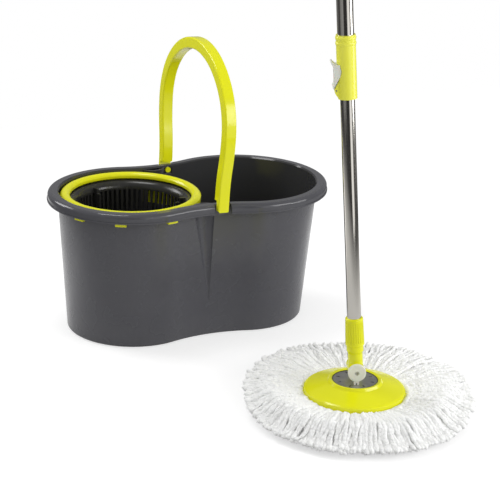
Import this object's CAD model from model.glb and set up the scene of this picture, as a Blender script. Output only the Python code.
# %% [markdown]
# # A spin mop beside its wringer bucket
#
# The object is a bucket with two round lobes. One lobe holds water, and the other carries a slotted
# basket that spins on a post. A mop with a round head of white yarn stands in front of it, and its
# handle is two steel tubes that slide on a twisted strip, so that pumping the handle spins the head.
#
# The hard parts come in as a ready frame: every node already sits in its place, in metres, with the
# floor at z = 0. This file gives them their finishes, grows the yarn, and sets up the light and the
# camera. Each step is first explained and then done, so the file can be read from top to bottom.

# %% Load the frame
import bpy
import math
from functools import partial
from mathutils import Matrix, Vector


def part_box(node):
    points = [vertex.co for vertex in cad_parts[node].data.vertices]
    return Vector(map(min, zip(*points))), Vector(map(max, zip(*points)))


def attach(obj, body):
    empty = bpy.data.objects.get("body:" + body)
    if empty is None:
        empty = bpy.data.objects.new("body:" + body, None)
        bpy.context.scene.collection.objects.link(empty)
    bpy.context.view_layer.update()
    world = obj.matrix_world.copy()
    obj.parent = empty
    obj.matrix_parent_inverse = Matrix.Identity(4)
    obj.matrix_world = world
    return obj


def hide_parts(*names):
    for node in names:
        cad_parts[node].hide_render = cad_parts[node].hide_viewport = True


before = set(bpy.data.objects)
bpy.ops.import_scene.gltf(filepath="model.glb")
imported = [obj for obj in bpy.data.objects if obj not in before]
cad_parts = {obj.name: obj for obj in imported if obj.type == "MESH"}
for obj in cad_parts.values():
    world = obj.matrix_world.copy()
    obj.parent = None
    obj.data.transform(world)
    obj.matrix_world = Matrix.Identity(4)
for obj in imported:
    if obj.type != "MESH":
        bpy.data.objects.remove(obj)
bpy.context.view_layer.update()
scene = bpy.context.scene
print("nodes in the frame:", len(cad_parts))

# %% [markdown]
# ## The camera
#
# A camera in Blender looks along its own -Z axis. Its place could be found by eye, but here the
# viewing line is known, so the camera's three axes are built from it: the right-hand axis is square
# to the line and to the upright, and the small roll turns both about the line. A long lens keeps the
# uprights nearly parallel, as they are for a product shot taken from about three metres. The Standard
# view shows each colour as it is written.

# %% Camera
VIEW_POINT = Vector((-1.1089, -2.5544, 1.1151))
VIEW_LINE = Vector((0.40766, 0.84961, -0.33463)).normalized()
VIEW_ROLL = math.radians(1.84)
LENS = 118.8
SENSOR_WIDTH = 36

level_right = VIEW_LINE.cross(Vector((0, 0, 1))).normalized()
level_up = level_right.cross(VIEW_LINE)
camera_right = level_right * math.cos(VIEW_ROLL) + level_up * math.sin(VIEW_ROLL)
camera_up = level_up * math.cos(VIEW_ROLL) - level_right * math.sin(VIEW_ROLL)
camera_axes = Matrix((camera_right, camera_up, -VIEW_LINE)).transposed()
camera_data = bpy.data.cameras.new("product_camera")
camera_data.lens = LENS
camera_data.sensor_width = SENSOR_WIDTH
camera = bpy.data.objects.new("product_camera", camera_data)
camera.matrix_world = Matrix.Translation(VIEW_POINT) @ camera_axes.to_4x4()
scene.collection.objects.link(camera)
scene.camera = camera
scene.view_settings.view_transform = "Standard"
print("camera stands", round(VIEW_POINT.length, 2), "m from the origin")

# %% [markdown]
# ## Short calls for nodes
#
# Materials, the world and Geometry Nodes are all trees of nodes, and the same two steps come back in
# each of them: add a node, and join something to its inputs. `add` does both and hands back the
# node's output, so one call can be written inside another, like a formula. The calls below it cover
# the kinds of node that come back most. `slope` draws nearly every edge and fade in this file.

# %% Helpers for numbers and vectors
def add(tree, kind, *values, out=0, props=None, **named):
    """Add a node, set or link its inputs in order or by name, and return one of its outputs."""
    made = tree.nodes.new(kind)
    for key, value in (props or {}).items():
        setattr(made, key, value)
    pairs = list(zip(made.inputs, values))
    pairs += [(made.inputs[name.replace("_", " ")], value) for name, value in named.items()]
    for socket, value in pairs:
        if isinstance(value, bpy.types.NodeSocket):
            tree.links.new(value, socket)
        elif value is not None:
            socket.default_value = value
    return made.outputs[out] if len(made.outputs) else None


def calc(tree, operation, *values):
    """One step of arithmetic."""
    return add(tree, "ShaderNodeMath", *values, props={"operation": operation})


def vector_calc(tree, operation, *values):
    """One step of arithmetic on vectors; a dot product or a distance gives a plain number."""
    out = "Value" if operation in ("DOT_PRODUCT", "DISTANCE") else "Vector"
    return add(tree, "ShaderNodeVectorMath", *values, out=out, props={"operation": operation})


def split(tree, vector):
    """The X, Y and Z of a vector, by name."""
    return add(tree, "ShaderNodeSeparateXYZ", vector).node.outputs


def slope(tree, value, start, end, low, high, smooth=False):
    """Go from low to high while a value goes from start to end, and stay level outside that."""
    style = "SMOOTHSTEP" if smooth else "LINEAR"
    return add(tree, "ShaderNodeMapRange", value, start, end, low, high,
               props={"interpolation_type": style})


print("number helpers are ready")

# %% [markdown]
# A Mix node holds sockets for several kinds of value side by side, and its colour sockets can only be
# told apart by their place in the list, so those places get names here.

# %% Helpers for colours
MIX_SHARE, MIX_FIRST, MIX_SECOND, MIX_RESULT = 0, 6, 7, 2


def blend_colour(tree, share, first, second):
    """A colour between two others, each of them three numbers or the output of a node."""
    made = tree.nodes.new("ShaderNodeMix")
    made.data_type = "RGBA"
    tree.links.new(share, made.inputs[MIX_SHARE])
    for index, colour in ((MIX_FIRST, first), (MIX_SECOND, second)):
        if isinstance(colour, bpy.types.NodeSocket):
            tree.links.new(colour, made.inputs[index])
        else:
            made.inputs[index].default_value = (*colour, 1)
    return made.outputs[MIX_RESULT]


def ramp(tree, share, *stops):
    """A colour ramp; each stop is a position from 0 to 1 and a grey level or a colour."""
    made = tree.nodes.new("ShaderNodeValToRGB")
    tree.links.new(share, made.inputs[0])
    points = made.color_ramp.elements
    while len(points) < len(stops):
        points.new(0.5)
    for point, (position, colour) in zip(points, stops):
        point.position = position
        point.color = (*colour, 1) if isinstance(colour, tuple) else (colour, colour, colour, 1)
    return made.outputs[0]


print("colour helpers are ready")

# %% [markdown]
# ## The studio
#
# A white product picture needs a white surround that doesn't flood the object with light. The world
# is therefore plain white only for rays that come from the camera. Diffuse rays get a softer fill,
# which is stronger near the horizon than overhead. Mirror-like rays see what stands round the set: a
# white card on the right of the camera, a dimmer one on the left, dark cards between them, and a dim
# ceiling. These upright bands are what draws the long stripes down a polished tube.
#
# `CARDS` goes once round the set. A position of 0.5 is straight towards the camera, more is to its
# right, and each position has its grey level.

# %% World
TO_CAMERA = Vector((-VIEW_LINE.x, -VIEW_LINE.y, 0)).normalized()
WHITE = (1, 1, 1)
FILL_LOW = 0.94
FILL_HIGH = 0.52
CARDS = ((0.0, 0.30), (0.10, 0.22), (0.27, 0.03), (0.33, 0.22), (0.42, 0.30), (0.45, 0.03),
         (0.56, 0.03), (0.59, 1.0), (0.65, 1.0), (0.69, 0.03), (0.90, 0.22), (1.0, 0.30))
CEILING = (0.25, 0.25, 0.25)
CEILING_STARTS = 0.36
CEILING_FULL = 0.62

world = bpy.data.worlds.new("studio_world")
scene.world = world
world.use_nodes = True
sky = world.node_tree
sky.nodes.clear()
ray = sky.nodes.new("ShaderNodeLightPath").outputs
direction = add(sky, "ShaderNodeTexCoord", out="Generated")
toward = vector_calc(sky, "DOT_PRODUCT", direction, tuple(TO_CAMERA))
sideways = vector_calc(sky, "DOT_PRODUCT", direction, tuple(level_right))
upward = split(sky, direction)["Z"]
round_set = calc(sky, "MULTIPLY_ADD", calc(sky, "ARCTAN2", sideways, toward), 0.5 / math.pi, 0.5)
overhead = slope(sky, upward, CEILING_STARTS, CEILING_FULL, 0.0, 1.0)
cards = blend_colour(sky, overhead, ramp(sky, round_set, *CARDS), CEILING)
fill = slope(sky, upward, 0.0, 1.0, FILL_LOW, FILL_HIGH)
mirror_ray = calc(sky, "MAXIMUM", ray["Is Glossy Ray"], ray["Is Transmission Ray"])
seen = blend_colour(sky, mirror_ray, fill, cards)
seen = blend_colour(sky, ray["Is Camera Ray"], seen, WHITE)
add(sky, "ShaderNodeOutputWorld", add(sky, "ShaderNodeBackground", seen, 1.0))
print("world fill from", FILL_LOW, "at the horizon to", FILL_HIGH, "overhead")

# %% [markdown]
# The floor is a pale sheet just under the object. It is set a hair lower than z = 0, so that its face
# and the flat foot of the bucket don't flicker through each other.

# %% Floor
FLOOR_DROP = 0.0006
FLOOR_LEFT, FLOOR_RIGHT = -1.3, 1.5
FLOOR_FRONT, FLOOR_BACK = -1.45, 1.3

corners = ((FLOOR_LEFT, FLOOR_FRONT), (FLOOR_RIGHT, FLOOR_FRONT),
           (FLOOR_RIGHT, FLOOR_BACK), (FLOOR_LEFT, FLOOR_BACK))
floor_mesh = bpy.data.meshes.new("floor_sheet")
floor_mesh.from_pydata([(x, y, -FLOOR_DROP) for x, y in corners], [], [(0, 1, 2, 3)])
floor = bpy.data.objects.new("floor_sheet", floor_mesh)
scene.collection.objects.link(floor)
print("floor sheet laid,", FLOOR_RIGHT - FLOOR_LEFT, "m wide")

# %% [markdown]
# Near the object the sheet is mostly plain paper, so it keeps a soft shadow, and it glows a little for
# the camera. Away from the object the glow rises to white and the paper darkens. So the sheet meets
# the white surround without an edge, and a tube is pale at its foot and dark higher up, where it
# mirrors the far floor. Behind the bucket the sheet glows for mirror-like rays too, and the bucket's
# edges catch that light. Each of the two glows is measured from a middle of its own.

# %% Floor finish
NEAR_MIDDLE = (0.05, -0.30, 0.0)
NEAR_REACH, WHITE_FROM = 0.68, 1.18
NEAR_GLOW = 0.55
NEAR_PAPER = ((0.3, 0.55), (0.7, 0.57))
FAR_PAPER = (0.04, 0.04, 0.04)
SPECKLES = 90.0
BACK_STARTS, BACK_FULL = -0.20, 0.15
BACK_GLOW = 0.7
BACK_MIDDLE = (0.0, 0.35, 0.0)
BACK_REACH, BACK_ENDS = 0.55, 0.80

floor_finish = bpy.data.materials.new("pale_floor")
floor_finish.use_nodes = True
sheet = floor_finish.node_tree
sheet.nodes.clear()
ray = sheet.nodes.new("ShaderNodeLightPath").outputs
on_floor = add(sheet, "ShaderNodeTexCoord", out="Object")
from_object = vector_calc(sheet, "DISTANCE", on_floor, NEAR_MIDDLE)
away = slope(sheet, from_object, NEAR_REACH, WHITE_FROM, 0.0, 1.0)
white = calc(sheet, "MULTIPLY_ADD", away, 1.0 - NEAR_GLOW, NEAR_GLOW)
seen_ray = calc(sheet, "MAXIMUM", ray["Is Camera Ray"], ray["Is Transmission Ray"])
behind = slope(sheet, split(sheet, on_floor)["Y"], BACK_STARTS, BACK_FULL, 0.0, BACK_GLOW)
from_back = vector_calc(sheet, "DISTANCE", on_floor, BACK_MIDDLE)
fading = slope(sheet, from_back, BACK_REACH, BACK_ENDS, 1.0, 0.0)
mirrored = calc(sheet, "MULTIPLY", ray["Is Glossy Ray"], calc(sheet, "MULTIPLY", behind, fading))
glow = add(sheet, "ShaderNodeEmission", (*WHITE, 1),
           calc(sheet, "MULTIPLY_ADD", seen_ray, white, mirrored))
pale = ramp(sheet, add(sheet, "ShaderNodeTexNoise", on_floor, Scale=SPECKLES), *NEAR_PAPER)
paper = add(sheet, "ShaderNodeBsdfDiffuse", blend_colour(sheet, away, pale, FAR_PAPER))
add(sheet, "ShaderNodeOutputMaterial", add(sheet, "ShaderNodeAddShader", glow, paper))
floor_mesh.materials.append(floor_finish)
print("floor is paper for", NEAR_REACH, "m and white from", WHITE_FROM, "m")

# %% [markdown]
# Four soft lamps do the modelling. The main one stands right of the camera and about as high. A low
# one farther to the right shades the bucket's round walls and draws a bright stripe on the tubes. A
# small one overhead draws lines of light along the rims, and one from behind on the left lifts the
# edges away from the background. Each row below gives a lamp's name, where it stands, the point that
# it is turned to, its width in metres and its watts.

# %% Lamps
LAMPS = (("main_lamp", (1.5, -2.25, 1.15), (0, -0.2, 0.35), 1.3, 23),
         ("side_lamp", (1.8, -1.2, 0.55), (0, 0, 0.15), 0.9, 9.5),
         ("top_lamp", (-0.4, 0.2, 1.9), (-0.1, 0, 0.2), 0.6, 7),
         ("edge_lamp", (-1.6, 1.7, 1.6), (0, 0, 0.2), 1.2, 24))


def soft_lamp(name, stand, aim, width, watts):
    """A square area lamp, turned to an aim point and out of the camera's sight."""
    data = bpy.data.lights.new(name, "AREA")
    data.size = width
    data.energy = watts
    lamp = bpy.data.objects.new(name, data)
    facing_aim = (Vector(aim) - Vector(stand)).to_track_quat("-Z", "Y")
    lamp.matrix_world = Matrix.Translation(stand) @ facing_aim.to_matrix().to_4x4()
    lamp.visible_camera = False
    scene.collection.objects.link(lamp)


for row in LAMPS:
    soft_lamp(*row)
print("lamps:", [row[0] for row in LAMPS])

# %% [markdown]
# ## Starting a finish
#
# Every finish is one Principled shader. Numbers that are the same all over are set straight on its
# sockets. Whatever varies is built from noise in Object coordinates, and since every object sits at
# the origin, those are simply metres in the scene. A finish usually wants three things: a colour that
# drifts a little, a roughness that drifts a little, and a fine bump.

# %% Helpers for finishes
NOISE_LOW, NOISE_HIGH = 0.3, 0.7


def start_finish(name, **sockets):
    """A new material with plain values on its shader; returns the material, tree and shader."""
    material = bpy.data.materials.new(name)
    material.use_nodes = True
    shader = material.node_tree.nodes["Principled BSDF"]
    for socket, value in sockets.items():
        shader.inputs[socket.replace("_", " ")].default_value = value
    return material, material.node_tree, shader


def place(tree):
    """Object coordinates, in metres."""
    return add(tree, "ShaderNodeTexCoord", out="Object")


def mottle(tree, scale, detail=2.0, stretch=None):
    """Soft noise from 0 to 1; scale is in lumps per metre, stretch squeezes it along the axes."""
    where = place(tree)
    if stretch:
        where = add(tree, "ShaderNodeMapping", where, Scale=stretch)
    return add(tree, "ShaderNodeTexNoise", where, Scale=scale, Detail=detail)


def levels(tree, noise, low, high):
    """Spread noise, which seldom leaves its middle range, between two numbers."""
    return slope(tree, noise, NOISE_LOW, NOISE_HIGH, low, high)


def join_finish(tree, shader, colour, roughness, height, depth, strength):
    """Link what varies: a colour, a roughness unless it is None, and a bump of some depth."""
    tree.links.new(colour, shader.inputs["Base Color"])
    if roughness is not None:
        tree.links.new(roughness, shader.inputs["Roughness"])
    bump = add(tree, "ShaderNodeBump", Strength=strength, Distance=depth, Height=height)
    tree.links.new(bump, shader.inputs["Normal"])


def dress(material, *nodes):
    """Give a finish to nodes of the frame."""
    for name in nodes:
        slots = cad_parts[name].data.materials
        slots.clear()
        slots.append(material)
    print(material.name, "->", ", ".join(nodes))


print("finish helpers are ready")

# %% [markdown]
# ## Grey bucket plastic
#
# The bucket is moulded in charcoal polypropylene. Its outside has a fine spark-eroded grain, which
# scatters light. Its inside and its rolled rim are polished and catch sharp lines of light, and the
# inside looks darker too. Faces could be given two materials by hand, but the bucket is one moulding,
# so one material works out where it is. A surface belongs to the outside where its normal points away
# from the upright axis of its own lobe, and it is grained there up to the foot of the rim.

# %% Where the bucket is grained
RIM_FOOT = 0.2325
RIM_BLUR = 0.001
LOBE_WET = 0.0942
LOBE_WRINGER = -0.1163
OUTSIDE_FULL = 0.03
INSIDE_FULL, INSIDE_ENDS = -0.08, -0.02

bucket_finish, tree, shader = start_finish("bucket_plastic", Specular_IOR_Level=0.5, IOR=1.49)
at = split(tree, place(tree))
wet_side = calc(tree, "GREATER_THAN", at["X"], (LOBE_WET + LOBE_WRINGER) / 2)
lobe_x = slope(tree, wet_side, 0.0, 1.0, LOBE_WRINGER, LOBE_WET)
lobe_axis = add(tree, "ShaderNodeCombineXYZ", lobe_x)
from_axis = vector_calc(tree, "SUBTRACT", place(tree), lobe_axis)
from_axis = vector_calc(tree, "MULTIPLY", from_axis, (1, 1, 0))
outward = vector_calc(tree, "DOT_PRODUCT", from_axis, add(tree, "ShaderNodeTexCoord", out="Normal"))
outside = slope(tree, outward, 0.0, OUTSIDE_FULL, 0.0, 1.0)
not_inside = slope(tree, outward, INSIDE_FULL, INSIDE_ENDS, 0.0, 1.0)
below_rim = slope(tree, at["Z"], RIM_FOOT - RIM_BLUR, RIM_FOOT + RIM_BLUR, 1.0, 0.0)
grained = calc(tree, "MULTIPLY", outside, below_rim)
print("bucket is grained up to", RIM_FOOT, "m")

# %% [markdown]
# The grey drifts a little over the wall, and near the floor the grain is scuffed in short upright
# strokes. The grain itself is a very fine bump, nearly gone where the mould was polished.

# %% Bucket finish
OUTSIDE_GREYS = ((0.067, 0.067, 0.076), (0.077, 0.077, 0.086))
INSIDE_GREYS = ((0.032, 0.032, 0.034), (0.039, 0.039, 0.041))
SCUFFED_GREY = (0.11, 0.11, 0.115)
SCUFF_TOP = 0.05
SCUFF_SHARE = 0.5
POLISHED_ROUGH, GRAINED_ROUGH = 0.11, 0.26
POLISHED_GRAIN = 0.1

drift = mottle(tree, 9.0, detail=3.0)
grey_out = blend_colour(tree, drift, *OUTSIDE_GREYS)
grey_in = blend_colour(tree, drift, *INSIDE_GREYS)
near_floor = slope(tree, at["Z"], 0.0, SCUFF_TOP, SCUFF_SHARE, 0.0)
strokes = mottle(tree, 140.0, detail=6.0, stretch=(1, 1, 0.12))
scuff = calc(tree, "MULTIPLY", strokes, near_floor)
grey = blend_colour(tree, not_inside, grey_in, blend_colour(tree, scuff, grey_out, SCUFFED_GREY))
rough = slope(tree, grained, 0.0, 1.0, POLISHED_ROUGH, GRAINED_ROUGH)
rough = calc(tree, "ADD", rough, levels(tree, mottle(tree, 30.0), -0.02, 0.03))
grain_left = slope(tree, grained, 0.0, 1.0, POLISHED_GRAIN, 1.0)
grain = calc(tree, "MULTIPLY", mottle(tree, 1500.0), grain_left)
join_finish(tree, shader, grey, rough, grain, depth=0.0002, strength=0.10)
dress(bucket_finish, "bucket_shell")

# %% [markdown]
# ## Basket plastic
#
# The spinning basket is nearly black and glossy, and its slots make it look darker still. Inside, wet
# yarn has polished it unevenly, so its roughness changes in soft upright streaks.

# %% Basket finish
BASKET_BLACKS = ((0.018, 0.018, 0.017), (0.032, 0.031, 0.029))

basket_finish, tree, shader = start_finish("basket_plastic", Specular_IOR_Level=0.5)
streaks = mottle(tree, 60.0, detail=4.0, stretch=(1, 1, 0.15))
join_finish(tree, shader, blend_colour(tree, streaks, *BASKET_BLACKS),
            levels(tree, streaks, 0.15, 0.30), mottle(tree, 700.0), depth=0.0001, strength=0.1)
dress(basket_finish, "wringer_basket", "hub_cap")

# %% [markdown]
# ## Lime plastic
#
# The bail, the collar round the basket, the mop disc and the pole fittings are all the same glossy
# yellow-green, apart from the clamp sleeve and the end cap, which are a paler lime. Coloured plastic
# like this keeps faint flow marks from the mould, so its tint wanders between a yellower and a greener
# lime, and a very shallow ripple breaks up the highlights.

# %% Lime finishes
LIMES = ((0.70, 0.71, 0.005), (0.75, 0.74, 0.010))
PALE_LIMES = ((0.79, 0.79, 0.070), (0.83, 0.81, 0.090))


def lime_finish(name, green, yellow):
    """Glossy lime plastic whose tint wanders between two colours."""
    material, tree, shader = start_finish(name, Specular_IOR_Level=0.5, IOR=1.5)
    flow = mottle(tree, 14.0, detail=4.0)
    gloss = levels(tree, mottle(tree, 45.0, detail=3.0), 0.12, 0.20)
    join_finish(tree, shader, blend_colour(tree, flow, green, yellow), gloss, mottle(tree, 150.0),
                depth=0.0002, strength=0.03)
    return material


dress(lime_finish("lime_plastic", *LIMES),
      "splash_collar", "bail_handle", "mop_disc", "refill_ring", "swivel_neck", "screw_collar")
dress(lime_finish("pale_lime", *PALE_LIMES), "clamp_sleeve", "end_cap")

# %% [markdown]
# ## White and natural plastics
#
# The pivot cap, the yoke and the clamp lever are white nylon, which is a little creamy and waxy. The
# bearings and the drive inside the handle are natural acetal, a bluer white with a fine machined
# grain. A little subsurface light keeps both from looking like paint.

# %% White and bearing finishes
NYLON_WHITES = ((0.72, 0.73, 0.66), (0.66, 0.66, 0.58))
ACETAL_WHITES = ((0.70, 0.71, 0.72), (0.62, 0.63, 0.63))


def milky_finish(name, pale, dull, grain_scale):
    """A waxy white plastic whose tint wanders between two colours."""
    material, tree, shader = start_finish(name, Subsurface_Weight=0.12, Subsurface_Scale=0.003)
    cloud = mottle(tree, 80.0, detail=3.0)
    gloss = levels(tree, mottle(tree, 160.0), 0.30, 0.44)
    join_finish(tree, shader, blend_colour(tree, cloud, pale, dull), gloss, mottle(tree, grain_scale),
                depth=0.0002, strength=0.2)
    return material


dress(milky_finish("white_plastic", *NYLON_WHITES, grain_scale=900.0),
      "yoke", "pivot_axle", "clamp_lever")
dress(milky_finish("bearing_plastic", *ACETAL_WHITES, grain_scale=1600.0),
      "thrust_washer", "basket_bush", "tube_plug", "nut_housing", "housing_cap", "drive_nut",
      "strip_stop", "strip_anchor", "guide_bush", "clamp_shoe")

# %% [markdown]
# ## Polished tube
#
# The handle tubes are thin stainless steel, ground lengthwise and then polished. The grinding leaves
# faint lines along the tube. The pole leans, so a Mapping node first turns the coordinates to stand
# along it, and then draws them out, which makes the noise a hundred times longer along the pole than
# across it. Sliding and gripping have dulled the tube in patches.

# %% Tube finish
POLE_FOOT = (0.0787, -0.477, 0.06)
POLE_TURN = (0.0, math.radians(-4.55), math.radians(-22.0))
LINE_STRETCH = (1.0, 1.0, 100.0)
TUBE_STEELS = ((0.70, 0.67, 0.615), (0.79, 0.76, 0.705))

tube_finish, tree, shader = start_finish("polished_tube", Metallic=1.0)
along_pole = add(tree, "ShaderNodeMapping", place(tree), Location=POLE_FOOT, Rotation=POLE_TURN,
                 Scale=LINE_STRETCH, props={"vector_type": "TEXTURE"})
lines = add(tree, "ShaderNodeTexNoise", along_pole, Scale=900.0, Detail=2.0)
handled = mottle(tree, 16.0, detail=4.0, stretch=(1, 1, 0.5))
rough = calc(tree, "ADD", levels(tree, handled, 0.08, 0.13), levels(tree, lines, -0.02, 0.04))
join_finish(tree, shader, blend_colour(tree, handled, *TUBE_STEELS), rough, lines,
            depth=0.0001, strength=0.01)
dress(tube_finish, "lower_tube", "upper_tube")

# %% [markdown]
# ## Plain steel
#
# Small steel parts, the post's spindle, the screws and the plate in the middle of the mop head are
# bright stamped metal: greyer than the tubes, mottled with faint water marks, and rougher.

# %% Steel finish
PLAIN_STEELS = ((0.36, 0.36, 0.342), (0.66, 0.66, 0.64))

steel_finish, tree, shader = start_finish("plain_steel", Metallic=1.0)
stain = mottle(tree, 120.0, detail=6.0)
join_finish(tree, shader, blend_colour(tree, stain, *PLAIN_STEELS), levels(tree, stain, 0.30, 0.46),
            mottle(tree, 1300.0, detail=3.0), depth=0.0002, strength=0.25)
dress(steel_finish, "spindle", "spindle_clip", "base_screws", "steel_plate", "pivot_screw",
      "clutch_rollers", "twist_strip", "anchor_rivet", "lever_pin")

# %% [markdown]
# ## Rubber
#
# The seal round the plate is soft black rubber. The hand grip is a harder grey foam rubber, with a
# pebbled skin that hands have rubbed smoother in patches.

# %% Rubber finishes
SEAL_BLACKS = ((0.008, 0.008, 0.008), (0.025, 0.025, 0.024))
GRIP_GREYS = ((0.020, 0.020, 0.021), (0.040, 0.040, 0.041))

seal_finish, tree, shader = start_finish("black_rubber", Specular_IOR_Level=0.4)
dust = mottle(tree, 300.0, detail=4.0)
join_finish(tree, shader, blend_colour(tree, dust, *SEAL_BLACKS), levels(tree, dust, 0.55, 0.75),
            mottle(tree, 1400.0), depth=0.0002, strength=0.3)
dress(seal_finish, "plate_seal")

grip_finish, tree, shader = start_finish("grip_rubber", Specular_IOR_Level=0.35)
pebble = add(tree, "ShaderNodeTexVoronoi", place(tree), Scale=850.0)
worn = mottle(tree, 35.0, detail=4.0)
join_finish(tree, shader, blend_colour(tree, worn, *GRIP_GREYS), levels(tree, worn, 0.50, 0.72), pebble,
            depth=0.0003, strength=0.5)
dress(grip_finish, "hand_grip")

# %% [markdown]
# ## Yarn finish
#
# The yarn is white microfibre chenille. Its pile is dense and soft, so it shows almost no gloss, only
# a sheen where the fibre tips stand up. Hollows between the tufts look a little grey-green. The tree
# that grows the yarn stores how far out each point of a tuft stands in an attribute called `pile`,
# and the finish reads it, so the shade follows the tufts themselves.

# %% Yarn material
PILE_SHADES = ((0.05, (0.86, 0.87, 0.83)), (0.35, (0.93, 0.935, 0.92)), (0.75, (0.955, 0.955, 0.945)))
PILE_SHARE, FIBRE_SHARE = 0.75, 0.35

yarn_finish, tree, shader = start_finish(
    "white_yarn", Roughness=0.9, Specular_IOR_Level=0.2, Sheen_Weight=0.2, Sheen_Roughness=0.5,
    Subsurface_Weight=0.2, Subsurface_Radius=(1.0, 1.0, 0.95), Subsurface_Scale=0.002)
pile = add(tree, "ShaderNodeAttribute", props={"attribute_name": "pile"}, out="Fac")
fibre = mottle(tree, 900.0, detail=4.0)
standing = calc(tree, "MULTIPLY_ADD", fibre, FIBRE_SHARE, calc(tree, "MULTIPLY", pile, PILE_SHARE))
join_finish(tree, shader, ramp(tree, standing, *PILE_SHADES), None, fibre, depth=0.0012, strength=0.5)
print("finish:", yarn_finish.name)

# %% [markdown]
# ## Growing the yarn
#
# The mop head is a ring of some fifteen hundred chenille strands, clamped under the disc and spread
# over the floor. A chenille strand is a cord with tufts packed along it. Modelling the tufts one by
# one would take weeks, and a hair system would not give a solid mesh. The strands follow a rule, so
# Geometry Nodes grow them: a straight curve is repeated once per strand, every point of it is moved
# by a formula, and a small tuft is set on each point.
#
# The tree's inputs are sizes in metres, bearings in radians and counts. Reach is how far out a strand
# lies. Uneven shortens strands one by one, Clumps varies them in groups, and Swept moves the whole
# ring's edge towards the bearing called Swept way. Draped way is the bearing of the front. The short
# calls from above are tied to this tree once, so that the formula needn't name it in every line.

# %% Geometry Nodes tree for the strands
COUNT, NUMBER = "NodeSocketInt", "NodeSocketFloat"
YARN_INPUTS = (
    ("Strands", COUNT, 200), ("Tufts", COUNT, 24), ("Middle", "NodeSocketVector", (0, 0, 0)),
    ("Root radius", NUMBER, 0.066), ("Disc radius", NUMBER, 0.080), ("Reach", NUMBER, 0.180),
    ("Uneven", NUMBER, 0.013), ("Low level", NUMBER, 0.0), ("High level", NUMBER, 1.0),
    ("Thickness", NUMBER, 0.0035), ("Sway", NUMBER, 0.011), ("Clumps", NUMBER, 0.018),
    ("Swept", NUMBER, 0.016), ("Swept way", NUMBER, 0.62), ("Draped way", NUMBER, -2.02),
    ("Seed", COUNT, 7), ("Finish", "NodeSocketMaterial", yarn_finish))

yarn_tree = bpy.data.node_groups.new("yarn_strands", "GeometryNodeTree")
yarn_tree.is_modifier = True
yarn_tree.interface.new_socket("Geometry", in_out="OUTPUT", socket_type="NodeSocketGeometry")
yarn_keys = {}
for name, kind, value in YARN_INPUTS:
    socket = yarn_tree.interface.new_socket(name, in_out="INPUT", socket_type=kind)
    socket.default_value = value
    yarn_keys[name] = socket.identifier
given = yarn_tree.nodes.new("NodeGroupInput").outputs
yarn_add, yarn_calc, yarn_slope = (partial(helper, yarn_tree) for helper in (add, calc, slope))

line = yarn_add("GeometryNodeCurvePrimitiveLine", Start=(0, 0, 0), End=(1, 0, 0))
line = yarn_add("GeometryNodeResampleCurve", Curve=line, Count=given["Tufts"])
dots = yarn_add("GeometryNodePoints", given["Strands"])
strands = yarn_add("GeometryNodeInstanceOnPoints", Points=dots, Instance=line)
strands = yarn_add("GeometryNodeRealizeInstances", strands)
print("one strand is a line with a point for every tuft;", len(yarn_keys), "inputs")

# %% [markdown]
# Strands are numbered, and the number gives the bearing round the ring. The golden ratio spreads the
# strands over the height of the pile, so that neighbours differ: each has a level from 0, on the
# floor, to 1, on top. `share` runs from 0 at the root of a strand to 1 at its tip, and `chance` gives
# each strand, or each tuft, its own fixed random number. A Random Value node has a set of sockets for
# each kind of value too, so the places of its number sockets get names.

# %% Number, level and bearing of a strand
RANDOM_MIN, RANDOM_MAX, RANDOM_ID, RANDOM_SEED, RANDOM_RESULT = 2, 3, 7, 8, 1
GOLDEN = 0.618034
LEVEL_JITTER = 0.08
BEARING_JITTER = 0.02

number = yarn_add("GeometryNodeFieldOnDomain", yarn_add("GeometryNodeInputIndex"),
                  props={"data_type": "INT", "domain": "CURVE"})


def chance(low, high, salt, each=number):
    """A random number for each strand, or for each of the items numbered in `each`."""
    made = yarn_tree.nodes.new("FunctionNodeRandomValue")
    made.data_type = "FLOAT"
    made.inputs[RANDOM_MIN].default_value = low
    made.inputs[RANDOM_MAX].default_value = high
    yarn_tree.links.new(each, made.inputs[RANDOM_ID])
    yarn_tree.links.new(yarn_calc("ADD", given["Seed"], salt), made.inputs[RANDOM_SEED])
    return made.outputs[RANDOM_RESULT]


def product(*values):
    """All values multiplied."""
    total = values[0]
    for value in values[1:]:
        total = yarn_calc("MULTIPLY", total, value)
    return total


share = yarn_add("GeometryNodeSplineParameter")
shuffled = yarn_calc("MULTIPLY_ADD", number, GOLDEN, chance(0.0, LEVEL_JITTER, salt=1))
level = yarn_slope(yarn_calc("FRACT", shuffled), 0.0, 1.0, given["Low level"], given["High level"])
bearing = yarn_calc("MULTIPLY", yarn_calc("DIVIDE", number, given["Strands"]), 2 * math.pi)
bearing = yarn_calc("ADD", bearing, chance(-BEARING_JITTER, BEARING_JITTER, salt=4))
print("each strand has a number, a level and a bearing")

# %% [markdown]
# Upper strands reach out farthest, because they drape over the ones below. The reach also changes with
# the bearing, smoothly towards the swept side and in clumps all round, and some strands are shorter.

# %% How far out a strand lies
FLOOR_SHORTER = 0.024
CLUMP_SCALE = 4.0

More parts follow.
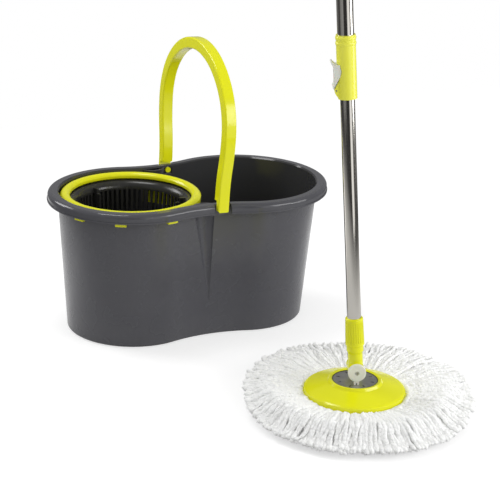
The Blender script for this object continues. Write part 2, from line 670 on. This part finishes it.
under = yarn_calc("SUBTRACT", 1.0, level)
reach = yarn_calc("SUBTRACT", given["Reach"], product(under, under, FLOOR_SHORTER))
toward_swept = yarn_calc("COSINE", yarn_calc("SUBTRACT", bearing, given["Swept way"]))
reach = yarn_calc("MULTIPLY_ADD", toward_swept, given["Swept"], reach)
round_ring = yarn_add("ShaderNodeCombineXYZ", yarn_calc("COSINE", bearing), yarn_calc("SINE", bearing))
clump = yarn_add("ShaderNodeTexNoise", round_ring, Scale=CLUMP_SCALE, Detail=2.0)
reach = yarn_calc("MULTIPLY_ADD", yarn_calc("SUBTRACT", clump, 0.5), given["Clumps"], reach)
short = chance(0.0, 1.0, salt=2)
reach = yarn_calc("SUBTRACT", reach, product(given["Uneven"], short, short))
span = yarn_calc("SUBTRACT", reach, given["Root radius"])
radius = yarn_calc("MULTIPLY_ADD", span, share, given["Root radius"])
print("strands on the floor end", FLOOR_SHORTER, "m before the top ones")

# %% [markdown]
# Seen from the side, a strand starts low in the clamp ring, climbs to its crown just past the edge of
# the disc, and swells a little higher in the upper levels. Towards its tip it falls again: all the way
# in front, where it drapes to the floor, and hardly at the back. In the heights here, `UP` is for a
# strand on the floor, and `RISE` is what a strand on top has more. `TIP_UPS` and the jitter are ranges
# that chance picks from.

# %% How high a strand lies
ROOT_UP, ROOT_RISE = 0.0045, 0.019
CROWN_UP, CROWN_RISE = 0.004, 0.0325
CROWN_JITTER = (-0.001, 0.0005)
BULGE_STARTS, BULGE_FULL, BULGE_RISE = 0.2, 0.6, 0.005
CLIMB_STARTS, CLIMB_ENDS = -0.007, 0.006
FALL_STARTS = 0.62
DRAPE_STARTS, DRAPE_FULL = -0.4, 0.6
DRAPE_BACK, DRAPE_FRONT = 0.1, 0.95
TIP_UPS, TIP_RISE = (0.005, 0.010), 0.006

root_up = yarn_calc("MULTIPLY_ADD", level, ROOT_RISE, ROOT_UP)
crown_up = yarn_calc("MULTIPLY_ADD", level, CROWN_RISE, CROWN_UP)
crown_up = yarn_calc("ADD", crown_up, chance(*CROWN_JITTER, salt=3))
bulge = yarn_slope(share, BULGE_STARTS, BULGE_FULL, 0.0, BULGE_RISE)
crown_up = yarn_calc("MULTIPLY_ADD", bulge, level, crown_up)
past_disc = yarn_calc("SUBTRACT", radius, given["Disc radius"])
climb = yarn_slope(past_disc, CLIMB_STARTS, CLIMB_ENDS, 0.0, 1.0, smooth=True)
height = yarn_calc("MULTIPLY_ADD", yarn_calc("SUBTRACT", crown_up, root_up), climb, root_up)
toward_front = yarn_calc("COSINE", yarn_calc("SUBTRACT", bearing, given["Draped way"]))
draped = yarn_slope(toward_front, DRAPE_STARTS, DRAPE_FULL, DRAPE_BACK, DRAPE_FRONT)
fall = yarn_slope(share, FALL_STARTS, 1.0, 0.0, 1.0, smooth=True)
tip_up = yarn_calc("MULTIPLY_ADD", level, TIP_RISE, chance(*TIP_UPS, salt=7))
to_tip = yarn_calc("SUBTRACT", tip_up, height)
height = yarn_calc("MULTIPLY_ADD", to_tip, product(fall, draped), height)
print("top strands lie", round(CROWN_UP + CROWN_RISE + BULGE_RISE, 4), "m up at most")

# %% [markdown]
# Noise makes every strand sway, mostly sideways and more towards its tip. It is read at a place that
# steps along with the strand's number, so neighbours sway differently. The bearing, the radius and the
# height then give each point its place round the middle of the mop.

# %% Sway and place of a strand
STRAND_STEP, SHARE_STEP = 3.7, 2.6
SIDE_SWAY, UP_SWAY = 2.4, 0.3
LOWEST_STRAND = 0.0028

noise_at = yarn_add("ShaderNodeCombineXYZ", yarn_calc("MULTIPLY", number, STRAND_STEP),
                    yarn_calc("MULTIPLY", share, SHARE_STEP), given["Seed"])
noise = yarn_add("ShaderNodeTexNoise", noise_at, Scale=1.0, Detail=1.0, out="Color")
wander = split(yarn_tree, vector_calc(yarn_tree, "SUBTRACT", noise, (0.5, 0.5, 0.5)))
sway = product(wander["X"], share, given["Sway"], SIDE_SWAY)
height = yarn_calc("MULTIPLY_ADD", product(wander["Y"], climb), product(given["Sway"], UP_SWAY), height)
height = yarn_calc("MAXIMUM", height, LOWEST_STRAND)
bearing = yarn_calc("ADD", bearing, yarn_calc("DIVIDE", sway, radius))
spot = yarn_add("ShaderNodeCombineXYZ", product(radius, yarn_calc("COSINE", bearing)),
                product(radius, yarn_calc("SINE", bearing)), height)
spot = vector_calc(yarn_tree, "ADD", spot, given["Middle"])
strands = yarn_add("GeometryNodeSetPosition", Geometry=strands, Position=spot)
print("strand formula joined")

# %% [markdown]
# One tuft is a ball of fifteen faces, drawn out along the strand. It is set on every point of every
# strand, turned to follow the strand, and scaled a little at random, with a fatter one at the tip.

# %% Tufts along the strands
TUFT_STRETCH = (1.0, 1.0, 1.5)
TUFT_SIZES = (0.84, 1.28)
TIP_STARTS, TIP_SIZE = 0.90, 1.08

tuft = yarn_add("GeometryNodeMeshUVSphere", Segments=5, Rings=3, Radius=1.0)
tuft = yarn_add("GeometryNodeTransform", Geometry=tuft, Scale=TUFT_STRETCH)
tip = yarn_slope(share, TIP_STARTS, 1.0, 1.0, TIP_SIZE)
tuft_number = yarn_add("GeometryNodeInputIndex")
size = product(given["Thickness"], tip, chance(*TUFT_SIZES, salt=5, each=tuft_number))
along = yarn_add("FunctionNodeAlignRotationToVector", Vector=yarn_add("GeometryNodeInputTangent"),
                 props={"axis": "Z"})
pelt = yarn_add("GeometryNodeInstanceOnPoints", Points=strands, Instance=tuft, Rotation=along,
                Scale=size)
pelt = yarn_add("GeometryNodeRealizeInstances", pelt)
print("tufts are", TUFT_SIZES[0], "to", TUFT_SIZES[1], "times the thickness")

# %% [markdown]
# Once the tufts are real mesh, noise pushes their points in and out along their normals, so that no
# two look alike, and the same noise is stored as `pile`. What would reach through the floor is lifted
# onto it. The tree ends with the finish.

# %% Fluff and the end of the tree
FLUFF_SCALE = 250.0
FLUFF_DEPTH = 0.0028
LOWEST_FLUFF = 0.0004

position = yarn_add("GeometryNodeInputPosition")
fluff = yarn_add("ShaderNodeTexNoise", position, Scale=FLUFF_SCALE, Detail=2.0)
pelt = yarn_add("GeometryNodeStoreNamedAttribute", Geometry=pelt, Name="pile",
                Value=levels(yarn_tree, fluff, 0.0, 1.0), props={"domain": "POINT"})
push = yarn_calc("MULTIPLY", yarn_calc("SUBTRACT", fluff, 0.5), FLUFF_DEPTH)
push = vector_calc(yarn_tree, "SCALE", yarn_add("GeometryNodeInputNormal"), None, None, push)
pelt = yarn_add("GeometryNodeSetPosition", Geometry=pelt, Offset=push)
at = split(yarn_tree, position)
lifted = yarn_calc("MAXIMUM", at["Z"], LOWEST_FLUFF)
lifted = yarn_add("ShaderNodeCombineXYZ", at["X"], at["Y"], lifted)
pelt = yarn_add("GeometryNodeSetPosition", Geometry=pelt, Position=lifted)
pelt = yarn_add("GeometryNodeSetShadeSmooth", Geometry=pelt)
pelt = yarn_add("GeometryNodeRealizeInstances", pelt)
pelt = yarn_add("GeometryNodeSetMaterial", Geometry=pelt, Material=given["Finish"])
yarn_add("NodeGroupOutput", pelt)
print("yarn tree has", len(yarn_tree.nodes), "nodes")

# %% [markdown]
# A tree only works as a modifier on an object. `grow` puts it on an empty mesh, sets its inputs by
# their identifiers, reads the finished mesh back, and makes that mesh the object's own, so that no
# modifier stays behind. The pile is grown in six layers, from the floor up, and each layer is a piece
# of its own. A row gives its name, its lowest and highest level, and how many strands it has.

# %% Grow the strands
YARN_LAYERS = (("yarn_floor", 0.0, 0.22, 220), ("yarn_low", 0.22, 0.42, 240),
               ("yarn_middle", 0.42, 0.60, 250), ("yarn_high", 0.60, 0.76, 260),
               ("yarn_upper", 0.76, 0.91, 270), ("yarn_top", 0.92, 1.0, 280))
FIRST_SEED, SEED_STEP = 11, 18


def grow(name, tree, keys, body, slot, **sizes):
    """Run a Geometry Nodes tree once and keep its result as a plain mesh riding on a body."""
    piece = bpy.data.objects.new(name, bpy.data.meshes.new(name + "_start"))
    scene.collection.objects.link(piece)
    modifier = piece.modifiers.new("grow", "NODES")
    modifier.node_group = tree
    for label, value in sizes.items():
        modifier[keys[label.replace("_", " ")]] = value
    bpy.context.view_layer.update()
    ready = piece.evaluated_get(bpy.context.evaluated_depsgraph_get())
    mesh = bpy.data.meshes.new_from_object(ready)
    piece.modifiers.clear()
    piece.data = mesh
    mesh.name = name
    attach(piece, body)
    print(name, "has", sum(len(p.vertices) - 2 for p in mesh.polygons), "triangles")
    return piece


pad_low, pad_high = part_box("yarn_pad")
pad_middle = (pad_low + pad_high) / 2
for order, (name, low, high, count) in enumerate(YARN_LAYERS):
    layer = grow(name, yarn_tree, yarn_keys, "mop_head", "yarn", Strands=count,
                 Middle=(pad_middle.x, pad_middle.y, 0.0), Low_level=low, High_level=high,
                 Seed=FIRST_SEED + SEED_STEP * order, Finish=yarn_finish)
    if order == 0:
        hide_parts("yarn_pad")
